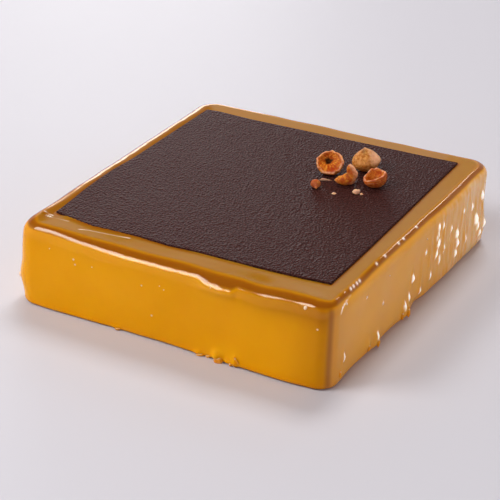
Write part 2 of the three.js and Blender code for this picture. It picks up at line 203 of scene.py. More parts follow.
# Drips at the foot: where each sits, its half width, thickness and height, and its slant in degrees.
DRIPS = [
    (26.8, -80, 2.3, 2.0, 1.2, 2.2, -14), (33.4, -80, 1.7, 0.7, 0.8, 0.8, 0),
    (36.2, -80, 3.4, 0.5, 0.5, 2.6, -32), (35.4, -80, 1.0, 1.3, 0.8, 0.8, -30),
    (17.5, -80, 1.0, 2.0, 0.8, 0.7, -15), (21.5, -80, 0.9, 1.3, 0.6, 0.6, -20),
    (-25, -80, 0.9, 1.3, 0.6, 0.6, 0), (80, -38.0, 2.6, 0.9, 0.8, 2.2, 12),
    (80, -45.5, 3.6, 0.7, 0.7, 1.8, 0), (80, -9.6, 3.0, 1.0, 0.9, 2.4, 8),
    (80, -14.0, 3.0, 0.6, 0.7, 2.0, 0), (80, -70.5, 4.4, 0.5, 0.6, 2.0, 0),
]


# ---- numbers for many points at once ----

def smooth_step(low, high, value):
    t = np.clip((value - low) / (high - low), 0.0, 1.0)
    return t * t * (3 - 2 * t)


def bell(x, y, middle_x, middle_y, width):
    return np.exp(-((x - middle_x) ** 2 + (y - middle_y) ** 2) / width ** 2)


def points_of(mesh):
    flat = np.empty(len(mesh.vertices) * 3)
    mesh.vertices.foreach_get("co", flat)
    return flat.reshape(-1, 3)


def as_points(x, y, z):
    return np.stack([x, y, z], axis=1)


def noise_at(points, size, seed=0.0):
    """Smooth noise from -1 to 1 whose lumps are about size across, for each point."""
    return np.array([noise.noise(Vector(p) / size + Vector((seed, seed, seed))) for p in points])


def wander(points, amount, size, seed):
    return amount * noise_at(points, size, seed)


def distance_to(line, points):
    """How far each point is from a broken line, in mm."""
    line = np.array(line)
    nearest = np.full(len(points), np.inf)
    for start, end in zip(line[:-1], line[1:]):
        along = np.clip((points - start) @ (end - start) / np.dot(end - start, end - start), 0, 1)
        nearest = np.minimum(nearest, np.linalg.norm(points - start - along[:, None] * (end - start), axis=1))
    return nearest


# ---- pieces and looks ----

def linear(hex_colour):
    """sRGB hex to Blender's linear colour."""
    channels = [int(hex_colour[i:i + 2], 16) / 255 for i in (1, 3, 5)]
    return tuple(c / 12.92 if c <= 0.04045 else ((c + 0.055) / 1.055) ** 2.4 for c in channels) + (1.0,)


def scale_of(size):
    """A pattern's scale in the shader, from the real size of its lumps in mm."""
    return 1 / (size * MM)


def add_node(tree, kind, inputs=(), **settings):
    """A node with its settings, and its inputs given as values or as the sockets that feed them."""
    node = tree.nodes.new(kind)
    for name, value in settings.items():
        setattr(node, name, value)
    for name, value in dict(inputs).items():
        if isinstance(value, bpy.types.NodeSocket):
            tree.links.new(value, node.inputs[name])
        else:
            node.inputs[name].default_value = value
    return node


def mixed(tree, factor, first, second):
    """One colour laid over another by a factor; each colour is a hex string or a socket."""
    mix = add_node(tree, "ShaderNodeMix", {"Factor": factor}, data_type="RGBA")
    for slot, colour in ((6, first), (7, second)):
        if isinstance(colour, str):
            mix.inputs[slot].default_value = linear(colour)
        else:
            tree.links.new(colour, mix.inputs[slot])
    return mix.outputs[2]


def new_finish(name):
    finish = bpy.data.materials.new(name)
    finish.use_nodes = True
    finish.node_tree.nodes.clear()
    return finish, finish.node_tree


def finish_with(tree, shader):
    add_node(tree, "ShaderNodeOutputMaterial", {"Surface": shader.outputs["BSDF"]})


def stored(tree, name):
    """The three parts of what a piece keeps at each of its points under a name."""
    look = add_node(tree, "ShaderNodeAttribute", attribute_name=name)
    return add_node(tree, "ShaderNodeSeparateXYZ", {"Vector": look.outputs["Vector"]}).outputs


def store(piece, name, values):
    """Keeps one number or three for each point of a piece, for its finish to read."""
    values = np.asarray(values, dtype=np.float32)
    kind, field = ("FLOAT", "value") if values.ndim == 1 else ("FLOAT_VECTOR", "vector")
    piece.data.attributes.new(name, kind, "POINT").data.foreach_set(field, values.ravel())


def new_piece(name, bm, finish, points_mm=None):
    """A piece of the object from a bmesh, with its points in millimetres, on the root body."""
    mesh = bpy.data.meshes.new(name)
    bm.to_mesh(mesh)
    bm.free()
    points = points_of(mesh) if points_mm is None else points_mm
    mesh.vertices.foreach_set("co", (points * MM).ravel())
    mesh.polygons.foreach_set("use_smooth", [True] * len(mesh.polygons))
    mesh.materials.append(finish)
    mesh.update()
    piece = bpy.data.objects.new(name, mesh)
    bpy.context.scene.collection.objects.link(piece)
    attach(piece, "root")
    return piece


def draw_rows(bm, rows):
    """Draws row after row out of a flat skin's border and shuts the last one.

    Each point keeps its place in the flat skin as x and y, and its row as -z.
    """
    border = [edge for edge in bm.edges if edge.is_boundary]
    for row in range(1, rows + 1):
        drawn = bmesh.ops.extrude_edge_only(bm, edges=border)["geom"]
        border = [item for item in drawn if isinstance(item, bmesh.types.BMEdge) and item.is_boundary]
        for vert in {vert for edge in border for vert in edge.verts}:
            vert.co.z = -row
    bmesh.ops.contextual_create(bm, geom=border)
    bmesh.ops.recalc_face_normals(bm, faces=bm.faces)
    return np.array([vert.co[:] for vert in bm.verts])


# ---- the glazed cake ----

def square_point(along, inset, corner_radius):
    """A point of the rounded square, set in from its side, and the way it faces.

    along goes from -1 to 1, from corner to corner of the side that faces +X.
    """
    half = CAKE_SIDE / 2 - inset
    radius = np.clip(corner_radius - CORNER_FADE * inset, 0, half)
    straight = half - radius
    reach = np.abs(along) * (straight + radius * math.pi / 4)
    bend = np.maximum(reach - straight, 0) / np.maximum(radius, 1e-9)
    bend = np.minimum(bend, math.pi / 4)
    x = straight + radius * np.cos(bend)
    y = np.sign(along) * (np.minimum(reach, straight) + radius * np.sin(bend))
    return x, y, np.cos(bend), np.sign(along) * np.sin(bend)


def outline_point(side, along, inset):
    """A point of the cake's outline on any side, set in from it, and the way it faces."""
    near = ((side == 0) & (along < 0)) | ((side == -1) & (along > 0))
    x, y, face_x, face_y = square_point(along, inset, np.where(near, NEAR_CORNER_RADIUS, CORNER_RADIUS))
    cos_turn, sin_turn = np.cos(side * math.pi / 2), np.sin(side * math.pi / 2)
    return (x * cos_turn - y * sin_turn, x * sin_turn + y * cos_turn,
            face_x * cos_turn - face_y * sin_turn, face_x * sin_turn + face_y * cos_turn)


def along_edge(edge, at):
    return np.interp(at, [point[0] for point in edge], [point[1] for point in edge])


def sheet_distance(x, y):
    """How far a point of the top lies outside the chocolate sheet, in mm; negative under it."""
    over_x = np.maximum(along_edge(SHEET_LEFT, y) - x, x - along_edge(SHEET_RIGHT, y))
    over_y = np.maximum(along_edge(SHEET_FRONT, x) - y, y - along_edge(SHEET_BACK, x))
    outside = np.hypot(np.maximum(over_x, 0), np.maximum(over_y, 0))
    return outside + np.minimum(np.maximum(over_x, over_y), 0)


def glaze_relief(x, y, z):
    """How far the glaze stands out from the plain side, in mm."""
    out = np.zeros_like(x)
    for size, per_x, per_y, per_z, start in GLAZE_WAVES:
        out += size * np.sin(2 * math.pi * (per_x * x + per_y * y + per_z * z + start))
    for middle_x, middle_y, middle_z, stands, wide, tall in SWELLS.values():
        out += stands * bell(x, y, middle_x, middle_y, wide) * np.exp(-((z - middle_z) / tall) ** 2)
    return out


def place_on_cake(ring):
    """Where each point of the ringed skin belongs on the cake.

    It keeps its side, place along it and row; the edge that it lies below or inside; how much it
    belongs to the right, left and front; and its place in the section: the share of the margin, the
    angle over the edge, the share of the wall and the angle under the foot.
    """
    angle = np.arctan2(ring[:, 1], ring[:, 0])
    at = SimpleNamespace(side=np.round(angle / (math.pi / 2)), row=np.round(-ring[:, 2]))
    at.along = np.clip((angle - at.side * math.pi / 2) / (math.pi / 4), -1, 1)
    at.edge_x, at.edge_y, face_x, face_y = outline_point(at.side, at.along, np.zeros_like(at.along))
    facings = (face_x, -face_x, -face_y)
    at.right, at.left, at.front = (smooth_step(0.5, 0.95, facing) for facing in facings)
    at.across = np.clip(at.row / MARGIN_ROWS, 0, 1)
    at.over = np.clip((at.row - MARGIN_ROWS) / ROLL_ROWS, 0, 1) * math.pi / 2
    at.down = np.clip((at.row - WALL_START) / WALL_ROWS, 0, 1)
    at.under = np.clip((at.row - FOOT_START) / FOOT_ROWS, 0, 1) * math.pi / 2
    at.on_top = at.over < 0.01
    return at


def shape_rim(at):
    """The rim is higher in some places and lower in others, its roll tighter or wider."""
    edge = as_points(at.edge_x, at.edge_y, np.zeros_like(at.edge_x))
    lift = wander(edge, *LIFT_WANDER)
    for middle_x, middle_y, height, width in RIM_LIFTS.values():
        lift += height * bell(at.edge_x, at.edge_y, middle_x, middle_y, width)
    lift -= CALM_RIGHT_LIFT * at.right * lift
    at.run = ROLL_RUN + FRONT_RUN_MORE * at.front + LEFT_RUN_MORE * at.left - HIGH_RIM_NARROWS * lift
    at.run += wander(edge, *RUN_WANDER) * (1 - CALM_RIGHT_RUN * at.right)
    drop = ROLL_DROP + SOFT_DROP_MORE * np.maximum(at.front, at.left) + wander(edge, *DROP_WANDER)
    lift += LEFT_RIM_LIFT * at.left
    lift_starts = 0.25 + 0.3 * at.left
    at.rim_height = CAKE_HEIGHT + lift * smooth_step(lift_starts, 1.0, at.across)
    at.roll_end = at.rim_height - drop
    at.drop = drop
    # The lobe hangs lower towards its right end, where it stops at once.
    lobe = smooth_step(LOBE_BEGINS, LOBE_FULL, at.edge_x) * at.front
    lobe *= 1 - smooth_step(LOBE_WANES, LOBE_ENDS, at.edge_x)
    lobe *= 0.9 + LOBE_GROWS * (at.edge_x - LOBE_FULL)
    at.lobe = lobe * (1 + wander(edge, *LOBE_WANDER))


def shape_glaze(at):
    """Margin of the top, roll over the edge, wall and foot, with the relief of the glaze on them."""
    in_margin = MARGIN_INSET + (at.run - MARGIN_INSET) * at.across
    inset = np.where(at.row <= MARGIN_ROWS, in_margin, at.run * (1 - np.sin(at.over)))
    inset = inset + FOOT_RADIUS * (1 - np.cos(at.under))
    z = at.rim_height - at.drop * (1 - np.cos(at.over))
    z = np.where(at.row > WALL_START, at.roll_end * (1 - at.down) + FOOT_RADIUS * at.down, z)
    z = np.where(at.under > 0, FOOT_RADIUS * (1 - np.sin(at.under)), z)

    x, y, face_x, face_y = outline_point(at.side, at.along, inset)
    strength = np.clip(1 - inset / RELIEF_REACH, 0, 1)
    out = strength * glaze_relief(x, y, z)
    lobe_out = np.exp(-((z - LOBE_LEVEL) / LOBE_TALL) ** 2) * smooth_step(0.2, 0.7, at.over)
    out += LOBE_STANDS * at.lobe * lobe_out
    sag = smooth_step(0.3, 0.8, at.over) * (1 - smooth_step(0.9, math.pi / 2, at.over))
    z = z - LOBE_SAGS * at.lobe * sag
    right_side = smooth_step(0.7, 0.95, face_x) * strength
    for middle_y, middle_z, stands, wide, tall in RIPPLES + FOLDS_PAINTED_BRIGHT:
        ridge = np.exp(-((y - middle_y) / wide) ** 2 - ((z - middle_z) / tall) ** 2)
        out += stands * ridge * right_side
    x, y = x + face_x * out, y + face_y * out
    tilt = z / CAKE_HEIGHT - 0.5
    x, y = x + LEAN[0] * tilt, y + LEAN[1] * tilt

    at.from_sheet = np.abs(sheet_distance(x, y))
    climb = CLIMB + (FRONT_CLIMB + FRONT_LEFT_CLIMB * (1 - smooth_step(*FRONT_LEFT_FADES, x))) * at.front
    ridge = RIDGE_HEIGHT * np.exp(-((y - RIDGE_Y) / RIDGE_WIDTH) ** 2)
    ridge *= smooth_step(*RIDGE_RIGHT_FADES, x) * (1 - smooth_step(*RIDGE_LEFT_FADES, x))
    z = z + np.where(at.on_top, climb * np.exp(-at.from_sheet / CLIMB_REACH) + ridge, 0)
    # Fine unevenness of the skin breaks up the lines of light along the rims, least at the far right.
    place = as_points(x, y, z)
    skin = wander(place, *RIGHT_SKIN) * (1 - 0.6 * smooth_step(-20, 30, y)) * at.right
    skin += wander(place, *LEFT_SKIN) * at.left + wander(place, *FRONT_SKIN) * at.front
    z = z + skin * smooth_step(0.3, 0.9, at.across) * (1 - smooth_step(0.8, 1.2, at.over))
    at.x, at.y, at.z = x, y, z
    at.place = place


def glaze_shade_paint(at):
    """Painted shade at each point: on the top's margin, over the edge and along the sheet, and on the near
    corner.
    """
    # Painted shade: the top's margin is darker than the sides, and its reflection of the room makes it look
    # pale.
    pale = 1 - smooth_step(0.0, 0.35, at.over)
    # Painted shade: a dark band over the edge, and on the front a shade that runs on below it, most to the
    # right.
    end = 0.85 - 0.1 * at.right
    deep = smooth_step(0.0, 0.4, at.over) * (1 - smooth_step(end - 0.15, end + 0.1, at.over))
    below = np.maximum(at.roll_end - at.z, 0) / SHADE_BELOW_REACH
    shade_below = (0.12 + 0.35 * smooth_step(20, 60, at.edge_x)) * at.front
    deep = np.maximum(deep, shade_below * (at.over > end) * np.exp(-below))
    # More painted shade on the left margin of the top, and a dark line along the sheet's edge.
    deep = np.maximum(deep, 0.5 * at.left * at.on_top)
    sheet_shade = np.exp(-(at.from_sheet / SHEET_SHADE_WIDTH) ** 2) * (at.on_top & (at.row > 2))
    line, shade = (strength * bell(at.edge_x, at.edge_y, x, y, width)
                   for x, y, width, strength in (CORNER_SHADE_LINE, CORNER_SHADE_BROAD))
    corner_shade = np.maximum(line, shade) * smooth_step(0.2, 1.1, at.over)
    return as_points(pale, np.maximum(deep, sheet_shade), corner_shade)


def glaze_painted_light(at):
    """Of each point, how much painted light it has: a sheen on the right side, highlights, and a contact
    shadow at the foot.
    """
    # Painted reflection: a pale sheen on the right side, stronger towards its far end.
    painted_sheen = NEAR_SHEEN_PAINT + (FAR_SHEEN_PAINT - NEAR_SHEEN_PAINT) * smooth_step(0, 66, at.edge_y)
    painted_sheen *= smooth_step(0.7, 1.1, at.over) * at.right
    upright = np.array([1, 1, 0.22])
    painted_sheen *= 0.8 + smooth_step(-5, 25, at.edge_y) * noise_at(at.place * upright, 1.8, 6.0)
    highlight_paint = np.zeros_like(at.z)
    for middle_y, middle_z, stands, wide, tall in FOLDS_PAINTED_BRIGHT:
        wide, tall = (0.4 + 0.5 * stands) * wide, (0.8 + 0.35 * stands) * tall
        fold = np.exp(-((at.y - middle_y) / wide) ** 2 - ((at.z - middle_z) / tall) ** 2)
        highlight_paint = np.maximum(highlight_paint, fold)
    # Noise breaks the painted highlights on the folds into uneven strokes, whose ends are sharpened.
    highlight_paint = highlight_paint * smooth_step(-0.75, -0.05, noise_at(at.place * np.array([1, 1, 0.4]), 1.0, 8.0))
    highlight_paint = smooth_step(0.1, 0.5, highlight_paint * (at.over > 1.2) * at.right)
    # Painted highlight dots on the near half of the right rim, then the painted highlight lines.
    for middle_y in RIM_HIGHLIGHT_DOTS:
        dot = np.exp(-((at.edge_y - middle_y) / DOT_LENGTH) ** 2 - ((at.over - DOT_ANGLE) / DOT_WIDTH) ** 2)
        highlight_paint = np.maximum(highlight_paint, 0.9 * dot * at.right)
    for line in HIGHLIGHT_LINES:
        highlight_paint = np.maximum(highlight_paint, np.exp(-(distance_to(line, at.place) / HIGHLIGHT_LINE_WIDTH) ** 2))
    # The third part is a painted contact shadow along the front's very bottom.
    return as_points(painted_sheen, highlight_paint, np.exp(-(at.z / FOOT_SHADOW_PAINT) ** 2) * at.front)


def glazed_cake(finish):
    bm = bmesh.new()
    bmesh.ops.create_circle(bm, cap_ends=True, segments=4 * SIDE_STEPS, radius=1.0)
    at = place_on_cake(draw_rows(bm, FOOT_START + FOOT_ROWS))
    shape_rim(at)
    shape_glaze(at)
    piece = new_piece("mirror_glaze", bm, finish, as_points(at.x, at.y, at.z))
    store(piece, "glaze_painted_shade", glaze_shade_paint(at))
    store(piece, "glaze_foot", np.exp(-(at.z / FOOT_GLOW) ** 2))
    # The front wall and the far part of the top's right margin are duller.
    wall = at.front * smooth_step(1.2, math.pi / 2, at.over)
    store(piece, "glaze_front", wall + 0.8 * at.on_top * smooth_step(20, 66, at.y) * (at.x > 60))
    store(piece, "glaze_light_paint", glaze_painted_light(at))
    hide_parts("glazed_cake")
    return piece


def caramel_glaze():
    """Poured caramel mirror glaze: sugar and gelatine, clear at its skin and cloudy amber below."""
    finish, tree = new_finish("poured caramel mirror glaze")
    place = add_node(tree, "ShaderNodeTexCoord")
    cloud = add_node(tree, "ShaderNodeTexNoise",
                     {"Vector": place.outputs["Object"], "Scale": scale_of(22.222), "Detail": 3.0})
    foot = add_node(tree, "ShaderNodeAttribute", attribute_name="glaze_foot")
    wall = add_node(tree, "ShaderNodeAttribute", attribute_name="glaze_front")
    look, thin = stored(tree, "glaze_painted_shade"), stored(tree, "glaze_light_paint")
    amber = mixed(tree, cloud.outputs["Fac"], "#f4aa04", "#e89a04")
    amber = mixed(tree, foot.outputs["Fac"], amber, "#f29a00")
    # Painted shade: the top's darker margin, the dark band over the edge and along the sheet, and russet on
    # the near corner.
    amber = mixed(tree, look["X"], amber, "#a56f19")
    amber = mixed(tree, look["Y"], amber, "#9a560a")
    amber = mixed(tree, look["Z"], amber, "#8c4008")
    # Painted light: a pale sheen on the right side, a contact shadow at the front's foot, and bright
    # highlights.
    amber = mixed(tree, thin["X"], amber, "#f6c890")
    amber = mixed(tree, thin["Z"], amber, "#7c4410")
    amber = mixed(tree, thin["Y"], amber, "#fffaf0")
    # The front wall is duller than the rim and the sides.
    shine = add_node(tree, "ShaderNodeMapRange", {
        "Value": wall.outputs["Fac"], "To Min": 0.5, "To Max": 0.12})
    # The painted highlights on the folds, rim dots and thin lines also glow a little.
    highlight_glow = add_node(tree, "ShaderNodeMath", {0: thin["Y"], 1: 0.55}, operation="MULTIPLY")
    shader = add_node(tree, "ShaderNodeBsdfPrincipled", {
        "Base Color": amber,
        "Roughness": 0.07,
        "IOR": 1.42,
        "Specular Tint": linear("#fff2e2"),
        "Specular IOR Level": shine.outputs["Result"],
        "Emission Color": linear("#fff0dc"),
        "Emission Strength": highlight_glow.outputs["Value"],
        "Subsurface Weight": 0.35,
        "Subsurface Radius": (1.0, 0.45, 0.08),
        "Subsurface Scale": 4 * MM,
    })
    finish_with(tree, shader)
    return finish


def bubble_highlight_paint():
    """Tiny air bubbles in the glaze, painted pale cream as highlights."""
    finish, tree = new_finish("air bubbles in the glaze")
    place = add_node(tree, "ShaderNodeTexCoord")
    highlight_mottle = add_node(tree, "ShaderNodeTexNoise",
                    {"Vector": place.outputs["Object"], "Scale": scale_of(1.1111)})
    shader = add_node(tree, "ShaderNodeBsdfPrincipled", {
        "Base Color": mixed(tree, highlight_mottle.outputs["Fac"], "#ffc47c", "#fff2dc"),
        "Roughness": 0.12,
        "IOR": 1.42,
    })
    finish_with(tree, shader)
    return finish


def bubbles(glaze, finish):
    """Small lenses of air that swell the skin of the glaze, joined in one mesh."""
    bm = bmesh.new()
    for x, y, z, radius in BUBBLES:
        _, place, normal, _ = glaze.closest_point_on_mesh(Vector((x, y, z)) * MM)
        turn = normal.to_track_quat("Z", "Y").to_matrix().to_4x4()
        shape = Matrix.Diagonal((radius, radius, 0.6 * radius, 1))
        bmesh.ops.create_icosphere(bm, subdivisions=3, radius=1.0,
                                   matrix=Matrix.Translation(place / MM) @ turn @ shape)
    bmesh.ops.recalc_face_normals(bm, faces=bm.faces)
    piece = new_piece("glaze_bubbles", bm, finish)
    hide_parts("glazed_cake")


def bright_drips():
    """Drips at the foot: thicker, brighter glaze that the light comes through, with a painted pale highlight
    where it rolls over.
    """
    finish, tree = new_finish("thick drips of caramel glaze")
    place = add_node(tree, "ShaderNodeTexCoord")
    cloud = add_node(tree, "ShaderNodeTexNoise",
                     {"Vector": place.outputs["Object"], "Scale": scale_of(2.0)})
    look = add_node(tree, "ShaderNodeAttribute", attribute_name="drip_crest_highlight")
    amber = mixed(tree, cloud.outputs["Fac"], "#f08a00", "#ffae20")
    shader = add_node(tree, "ShaderNodeBsdfPrincipled", {
        "Base Color": mixed(tree, look.outputs["Fac"], amber, "#ffe4b8"),
        "Roughness": 0.08,
        "IOR": 1.42,
        "Subsurface Weight": 0.3,
        "Subsurface Radius": (1.0, 0.5, 0.1),
        "Subsurface Scale": 3 * MM,
    })
    finish_with(tree, shader)
    return finish


def drips(glaze, finish):
    """Thick drips that merge into the foot of the glaze, joined in one mesh."""
    bm = bmesh.new()
    crest = []
    for x, y, z, wide, thick, tall, slant in DRIPS:
        _, place, normal, _ = glaze.closest_point_on_mesh(Vector((x, y, z)) * MM)
        facing = Matrix.Rotation(math.atan2(normal.x, -normal.y), 4, "Z")
        turn = facing @ Matrix.Rotation(math.radians(slant), 4, "Y")
        shape = Matrix.Diagonal((wide, thick, tall, 1))
        ball = bmesh.ops.create_icosphere(bm, subdivisions=4, radius=1.0)["verts"]
        for vert in ball:
            # A painted highlight, a thin pale line high on the drip.
            crest.append(0.8 * math.exp(-((vert.co.z - 0.6) / 0.11) ** 2) * (abs(vert.co.x) < 0.75))
            rough = 0.12 * noise.noise(vert.co * 1.7 + Vector((x, y, z)))
            vert.co = place / MM + turn @ (shape @ (vert.co * (1 + rough)))
            vert.co.z = max(vert.co.z, 0.05)
    bmesh.ops.recalc_face_normals(bm, faces=bm.faces)
    piece = new_piece("glaze_drips", bm, finish)
    store(piece, "drip_crest_highlight", crest)
    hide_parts("glazed_cake")


# ---- the chocolate sheet ----

# The sheet's rows below its top, its edge's bevel, its grain and its slow waves: height, size, seed.
SHEET_ROW_LEVELS = (0.0, -0.22, -0.85, -1.05)
SHEET_BEVEL = 0.2
SHEET_GRAIN, SHEET_WAVE = (0.05, 0.85, 5.0), (0.12, 34.0, 2.0)


def chocolate_sheet(finish):
    bm = bmesh.new()
    bmesh.ops.create_grid(bm, x_segments=round(SHEET_SPAN_X / SHEET_CELL),
                          y_segments=round(SHEET_SPAN_Y / SHEET_CELL), size=0.5)
    flat = draw_rows(bm, len(SHEET_ROW_LEVELS) - 1)
    row = -flat[:, 2].astype(int)
    left, right = (along_edge(edge, flat[:, 1] * SHEET_SPAN_Y) for edge in (SHEET_LEFT, SHEET_RIGHT))
    x = (left + right) / 2 + flat[:, 0] * (right - left)
    front, back = along_edge(SHEET_FRONT, x), along_edge(SHEET_BACK, x)
    y = (front + back) / 2 + flat[:, 1] * (back - front)
    level = as_points(x, y, np.zeros_like(x))
    z = SHEET_TOP + np.array(SHEET_ROW_LEVELS)[row] + wander(level, *SHEET_WAVE)
    z = z + np.where(row == 0, wander(level, *SHEET_GRAIN), 0)
    bevel = np.where(row == 0, SHEET_BEVEL, 0.0)
    x = x - np.sign(x) * bevel * (np.abs(flat[:, 0]) > 0.4999)
    y = y - np.sign(y) * bevel * (np.abs(flat[:, 1]) > 0.4999)
    piece = new_piece("chocolate_plaque", bm, finish, as_points(x, y, z))
    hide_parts("chocolate_sheet")


def dark_chocolate():
    """Tempered dark chocolate set on a grained film: satin, with the film's fine leather grain."""
    finish, tree = new_finish("grained dark chocolate")
    place = add_node(tree, "ShaderNodeTexCoord")
    # The grain is a little coarser than a real film's, so that it shows from the camera.
    pebbles = add_node(tree, "ShaderNodeTexVoronoi",
                       {"Vector": place.outputs["Object"], "Scale": scale_of(0.8696)}, feature="SMOOTH_F1")
    bump = add_node(tree, "ShaderNodeBump",
                    {"Height": pebbles.outputs["Distance"], "Strength": 1.0, "Distance": 0.9 * MM})
    speck = add_node(tree, "ShaderNodeTexNoise",
                     {"Vector": place.outputs["Object"], "Scale": scale_of(0.7692), "Detail": 2.0})
    speck_contrast = add_node(tree, "ShaderNodeMapRange",
                              {"Value": speck.outputs["Fac"], "From Min": 0.4, "From Max": 0.6})
    shader = add_node(tree, "ShaderNodeBsdfPrincipled", {
        "Base Color": mixed(tree, speck_contrast.outputs["Result"], "#2c1512", "#4c2a26"),
        "Roughness": 0.42,
        "Specular IOR Level": 0.05,
        "Normal": bump.outputs["Normal"],
    })
    finish_with(tree, shader)
    return finish


# ---- the hazelnuts ----

NUT_ROUND, NUT_TALL = 96, 84
EASING_STEPS, EASING_WINDOW = 400, 19
# A nut rests on a flat this deep: what lies below it is pressed to a thin share of its depth.
RESTING_FLAT, PRESSED_SHARE = 0.35, 0.02
# The way from the nuts to the viewer, in degrees right of -Y.
VIEWER = 31.5

# Each nut's place on the sheet, its half sizes, how far its pole leans from straight up, and which way.
WHOLE_NUT = ((33.4, 40.7), (6.75, 6.5, 5.35), -6, VIEWER + 70)
HALF_NUT = ((20.4, 29.9), (6.4, 6.0, 5.2), 40, VIEWER - 9)
CUPPED_NUT = ((44.9, 27.3), (5.0, 5.55, 4.8), 13, VIEWER - 97)
NUT_BIT = ((22.0, 13.3), (2.3, 2.1, 2.0), 108, VIEWER + 4)
SPLIT_NUT_PLACE, FLAKE_PLACE = (32.6, 22.6), (22.8, 21.6)

# The split nut in its own frame, where x runs right in the picture, y away from the viewer and z up:
# it lies from its thin left tip to the right and curls up there. The flake of skin lies flat.
SPLIT_SPINE = [(-5.3, 0.4, 2.0), (-3.4, 0.2, 2.0), (-0.8, 0.0, 2.0), (1.8, 0.2, 2.6), (2.9, 0.8, 4.3),
               (2.5, 1.3, 6.4), (1.2, 1.5, 8.3)]
SPLIT_WIDTHS = (0.6, 2.0, 2.7, 2.9, 2.6, 2.5, 2.3)
FLAKE_SPINE = [(-2.9, 0.5, 0.7), (-1.2, 0.3, 0.9), (0.6, 0.0, 0.8), (2.9, -0.1, 0.5)]
FLAKE_WIDTHS = (0.5, 0.75, 0.6, 0.25)

# Crumbs on the sheet, around the nuts: place, half sizes and turn.
CRUMBS = {
    "pale_crumb": ((41.0, 16.5), (1.75, 1.3, 1.2), 40),
    "crumb_chip": ((43.6, 16.6), (0.7, 0.5, 0.5), 10),
    "small_crumb": ((32.5, 11.4), (1.0, 0.65, 0.5), 35),
}


def outer_section(first):
    """Radius and height down the outside of a ball, from an angle off its pole to the pole behind."""
    return [(math.sin(math.radians(turn)), math.cos(math.radians(turn))) for turn in range(first, 181, 8)]


# Sections of the nuts, from the pole that shows round to the pole behind: radius and height, as parts
# of the half width and half height. The hole, the rim of the half and the rim of the cup are points
# of their sections.
WHOLE_SECTION = [(0.0, 1.17), (0.05, 1.15), (0.12, 1.04), (0.25, 0.93), (0.46, 0.77), (0.68, 0.56),
                 (0.86, 0.32), (0.98, 0.04), (1.0, -0.16)] + outer_section(104)
HALF_SECTION = [(0.0, -0.6), (0.1, -0.59), (0.18, -0.5), (0.24, -0.32), (0.34, -0.2), (0.5, -0.1),
                (0.66, 0.0), (0.82, 0.09), (0.9, 0.12), (0.97, 0.06)] + outer_section(92)
HALF_HOLE, HALF_RIM = 3, 8
CUP_SECTION = [(0.0, -0.5), (0.25, -0.47), (0.46, -0.36), (0.62, -0.16), (0.72, 0.06), (0.8, 0.2),
               (0.87, 0.26), (0.95, 0.2)] + outer_section(84)
CUP_RIM = 6
DROP_SECTION = [(0.0, 1.55), (0.07, 1.48), (0.22, 1.2), (0.5, 0.8), (0.8, 0.42), (0.97, 0.1), (1.0, -0.1),
                (0.97, -0.4), (0.85, -0.66), (0.6, -0.84), (0.3, -0.9), (0.0, -0.9)]


def nut_ball():
    """A ball's skin; of each of its points, the part of the way from pole to pole and the way round."""
    bm = bmesh.new()
    bmesh.ops.create_uvsphere(bm, u_segments=NUT_ROUND, v_segments=NUT_TALL, radius=1.0)
    bmesh.ops.recalc_face_normals(bm, faces=bm.faces)
    ball = np.array([vert.co[:] for vert in bm.verts])
    return bm, np.arccos(np.clip(ball[:, 2], -1, 1)) / math.pi, np.arctan2(ball[:, 1], ball[:, 0])


def eased(places, values, at):
    """Values read off a broken line whose corners are rounded off."""
    fine = np.linspace(places[0], places[-1], EASING_STEPS)
    window = np.hanning(EASING_WINDOW) / np.hanning(EASING_WINDOW).sum()
    padded = np.pad(np.interp(fine, places, values), EASING_WINDOW // 2, mode="reflect", reflect_type="odd")
    return np.interp(at, fine, np.convolve(padded, window, "valid"))


def section_at(section, part):
    """Radius and height at a part of the way along a section, and how far along each of its points is."""
    radius, height = np.array(section).T
    way = np.concatenate([[0], np.cumsum(np.hypot(np.diff(radius), np.diff(height)))])
    way = way / way[-1]
    return eased(way, radius, part), eased(way, height, part), way


def turned(radius, height, around):
    return as_points(radius * np.cos(around), radius * np.sin(around), height)


def lumpy(points, amount, size, seed):
    """Points moved out and in from the middle by a share of their distance."""
    swell = amount * noise_at(points, size, seed) + 0.5 * amount * noise_at(points, 0.45 * size, seed + 4)
    return points * (1 + swell[:, None])


def stood(points, place, lean, way):
    """Tips the pole from straight up, in degrees, to a way right of -Y, and stands it on the sheet."""
    tip = Matrix.Rotation(math.radians(way), 3, "Z") @ Matrix.Rotation(math.radians(lean), 3, "X")
    points = points @ np.array(tip).T
    points = points - np.array([0, 0, points[:, 2].min() + RESTING_FLAT])
    points[:, 2] = np.maximum(points[:, 2], PRESSED_SHARE * points[:, 2])
    return points + np.array([*place, SHEET_TOP])


def nut_piece(name, node, bm, points, finish, pale=0.0, dark=0.0, red=0.0):
    """A nut with its looks at each point: x pale, y dark, z red brown; in places they are painted highlights
    and shade.
    """
    piece = new_piece(name, bm, finish, points)
    look = np.zeros((len(points), 3))
    look[:, 0], look[:, 1], look[:, 2] = pale, dark, red
    store(piece, "nut_look", np.clip(look, 0, 1))
    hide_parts(node)


